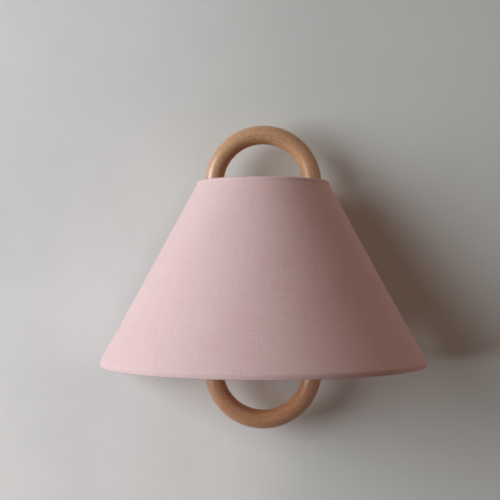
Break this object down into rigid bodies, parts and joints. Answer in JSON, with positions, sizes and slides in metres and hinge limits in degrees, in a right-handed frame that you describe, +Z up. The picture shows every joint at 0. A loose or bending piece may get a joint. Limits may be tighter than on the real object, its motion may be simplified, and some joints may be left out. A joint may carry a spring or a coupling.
{
  "type": "wall sconce",
  "caption": "Wall sconce: an upright wooden loop on a back box, with a pale pink half-cone fabric shade hung in front of a downward bulb.",
  "frame": {"origin": "centre of the wall plate's screw pattern, on the wall plane", "axes": "+X to the viewer's right along the wall, +Y into the wall, +Z up"},
  "size_m": [0.31, 0.1768, 0.288],
  "materials": {
    "beech": "oiled, fine straight grain",
    "dowel_beech": "raw",
    "shade_fabric": "plain woven, pale pink",
    "liner_plastic": "white satin sheet",
    "white_wire": "white powder coat",
    "zinc_steel": "zinc plated",
    "brass": "satin",
    "holder_plastic": "moulded white",
    "porcelain": "cream",
    "rubber": "matt black",
    "terminal_plastic": "natural nylon",
    "brown_insulation": "brown sleeve",
    "blue_insulation": "blue sleeve",
    "green_insulation": "green and yellow sleeve",
    "opal_glass": "opal, matt",
    "bulb_plastic": "white",
    "nickel": "nickel plated",
    "black_insulator": "black",
    "solder": "solder grey",
    "board_white": "white solder mask"
  },
  "bodies": {
    "frame": {"upper_arch": "beech", "lower_arch": "beech", "left_rail": "beech", "right_rail": "beech", "joint_dowels": "dowel_beech", "cross_dowels": "dowel_beech", "back_box": "beech", "wall_plate": "zinc_steel", "cable_grommet": "rubber", "box_screws": "zinc_steel", "earth_screw": "brass", "hanger_screws": "zinc_steel", "lamp_arm": "brass", "arm_flange": "brass", "arm_nut": "brass", "holder_dome": "holder_plastic", "holder_skirt": "holder_plastic", "holder_grub_screw": "zinc_steel", "holder_core": "porcelain", "screw_shell": "brass", "centre_contact": "brass", "terminal_block": "terminal_plastic", "terminal_screws": "zinc_steel", "terminal_fixing_screws": "zinc_steel", "live_lead": "brown_insulation", "neutral_lead": "blue_insulation", "earth_lead": "green_insulation"},
    "shade": {"shade_cover": "shade_fabric", "shade_liner": "liner_plastic", "edge_bindings": "shade_fabric", "upper_ring": "white_wire", "lower_ring": "white_wire", "left_strut": "white_wire", "right_strut": "white_wire", "upper_cross_wire": "white_wire", "lower_cross_wire": "white_wire", "hanger_straps": "zinc_steel"},
    "bulb": {"bulb_globe": "opal_glass", "bulb_collar": "bulb_plastic", "bulb_cap": "nickel", "bulb_insulator": "black_insulator", "bulb_tip": "solder", "led_board": "board_white"}
  },
  "joints": [
    {"name": "shade_lift", "type": "slide", "parent": "frame", "child": "shade", "axis": [0, 0, 1], "range_m": [0, 0.009]},
    {"name": "bulb_turn", "type": "hinge", "parent": "frame", "child": "bulb", "pos_m": [0, -0.076, -0.045], "axis": [0, 0, -1], "range_deg": [0, 1440]}
  ]
}
